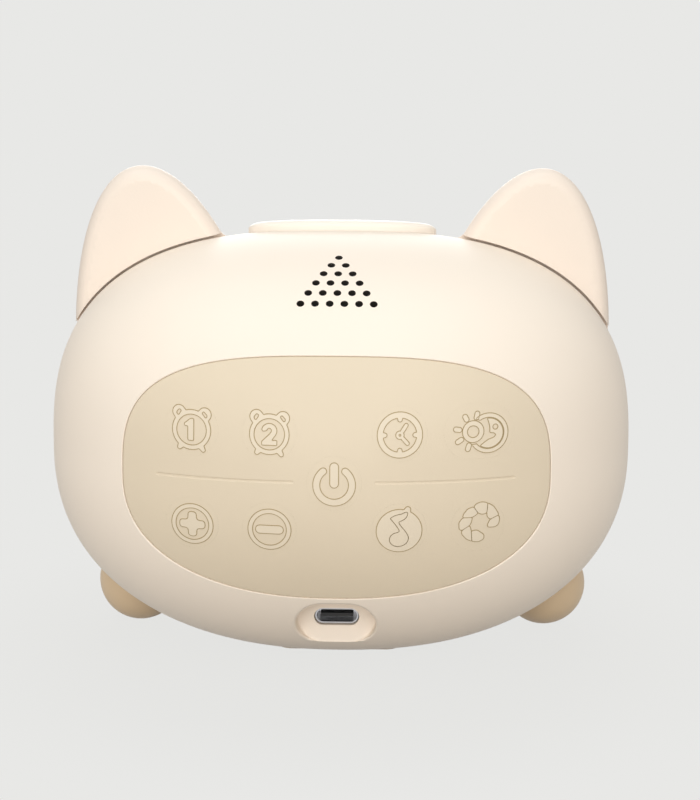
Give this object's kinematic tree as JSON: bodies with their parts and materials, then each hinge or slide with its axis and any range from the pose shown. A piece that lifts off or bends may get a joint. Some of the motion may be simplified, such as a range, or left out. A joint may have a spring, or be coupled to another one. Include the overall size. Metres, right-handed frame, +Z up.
{
  "type": "kids alarm clock with night light",
  "caption": "Plump desk alarm clock with ears, a soft keypad, speaker grille and charging socket behind, a snooze button on the crown and an opal lit face in front.",
  "frame": {"origin": "on the table at the middle of the belly pad's face", "axes": "+Z up, +Y toward the lit face, -Y toward the keypad, +X to the right as seen facing the keypad"},
  "size_m": [0.122, 0.0729, 0.1014],
  "materials": {
    "shell_cream": "satin moulded ABS, warm cream",
    "shell_peach": "satin moulded ABS, cream with a peach tint",
    "opal_lens": "opal diffusing plastic",
    "silicone_sand": "matte moulded silicone, sand",
    "silicone_key": "matte moulded silicone, sand",
    "button_cream": "satin moulded ABS",
    "rubber_tan": "soft moulded rubber",
    "foot_tan": "satin moulded plastic, tan",
    "screw_steel": "zinc plated",
    "board_green": "green solder mask on glass laminate",
    "board_white": "white solder mask on glass laminate",
    "switch_black": "moulded nylon",
    "socket_metal": "nickel plated steel",
    "socket_black": "moulded insulator",
    "chip_black": "epoxy packages",
    "coil_brown": "sleeved electrolytics and a coil",
    "plug_white": "nylon plug housings",
    "led_warm": "warm white diodes",
    "display_dark": "dark module housing",
    "digit_warm": "light pipes",
    "reflector_white": "white polypropylene",
    "speaker_grey": "moulded basket",
    "cone_black": "treated film and cloth",
    "foam_dark": "adhesive foam",
    "battery_wrap": "laminate pouch",
    "lead_red": "insulated wire",
    "lead_grey": "insulated wire",
    "ribbon_white": "flat film cable"
  },
  "bodies": {
    "case": {"rear_shell": "shell_cream", "keypad_mat": "silicone_sand", "key_board": "board_green", "key_switches": "switch_black", "key_board_screws": "screw_steel", "dust_mesh": "cone_black", "speaker_gasket": "foam_dark", "speaker_frame": "speaker_grey", "speaker_cone": "cone_black", "speaker_magnet": "socket_metal", "socket_shell": "socket_metal", "socket_tongue": "socket_black", "main_board": "board_green", "main_chips": "chip_black", "main_parts": "coil_brown", "main_plugs": "plug_white", "main_board_screws": "screw_steel", "belly_pad": "rubber_tan", "front_shell": "shell_peach", "face_lens": "opal_lens", "reflector": "reflector_white", "light_board": "board_white", "night_leds": "led_warm", "display_module": "display_dark", "display_digits": "digit_warm", "light_board_screws": "screw_steel", "battery_pad": "foam_dark", "battery": "battery_wrap", "battery_lead": "lead_red", "speaker_lead": "lead_grey", "key_ribbon": "ribbon_white", "light_ribbon": "ribbon_white", "top_board": "board_green", "snooze_switch": "switch_black", "top_board_screws": "screw_steel", "case_screws": "screw_steel", "foot_left": "foot_tan", "foot_right": "foot_tan", "foot_screws": "screw_steel"},
    "key_alarm1": {"key_alarm1": "silicone_key"},
    "key_alarm2": {"key_alarm2": "silicone_key"},
    "key_time": {"key_time": "silicone_key"},
    "key_sun_moon": {"key_sun_moon": "silicone_key"},
    "key_power": {"key_power": "silicone_key"},
    "key_plus": {"key_plus": "silicone_key"},
    "key_minus": {"key_minus": "silicone_key"},
    "key_sound": {"key_sound": "silicone_key"},
    "key_light": {"key_light": "silicone_key"},
    "snooze": {"top_button": "button_cream"}
  },
  "joints": [
    {"name": "key_alarm1_press", "type": "slide", "parent": "case", "child": "key_alarm1", "axis": [0, 1, 0], "range_m": [0, 0.0004], "stiffness_N_per_m": 500},
    {"name": "key_alarm2_press", "type": "slide", "parent": "case", "child": "key_alarm2", "axis": [0, 1, 0], "range_m": [0, 0.0004], "stiffness_N_per_m": 500},
    {"name": "key_time_press", "type": "slide", "parent": "case", "child": "key_time", "axis": [0, 1, 0], "range_m": [0, 0.0004], "stiffness_N_per_m": 500},
    {"name": "key_sun_moon_press", "type": "slide", "parent": "case", "child": "key_sun_moon", "axis": [0, 1, 0], "range_m": [0, 0.0004], "stiffness_N_per_m": 500},
    {"name": "key_power_press", "type": "slide", "parent": "case", "child": "key_power", "axis": [0, 1, 0], "range_m": [0, 0.0004], "stiffness_N_per_m": 500},
    {"name": "key_plus_press", "type": "slide", "parent": "case", "child": "key_plus", "axis": [0, 1, 0], "range_m": [0, 0.0004], "stiffness_N_per_m": 500},
    {"name": "key_minus_press", "type": "slide", "parent": "case", "child": "key_minus", "axis": [0, 1, 0], "range_m": [0, 0.0004], "stiffness_N_per_m": 500},
    {"name": "key_sound_press", "type": "slide", "parent": "case", "child": "key_sound", "axis": [0, 1, 0], "range_m": [0, 0.0004], "stiffness_N_per_m": 500},
    {"name": "key_light_press", "type": "slide", "parent": "case", "child": "key_light", "axis": [0, 1, 0], "range_m": [0, 0.0004], "stiffness_N_per_m": 500},
    {"name": "snooze_press", "type": "slide", "parent": "case", "child": "snooze", "axis": [0, 0, -1], "range_m": [0, 0.0008], "stiffness_N_per_m": 600}
  ]
}
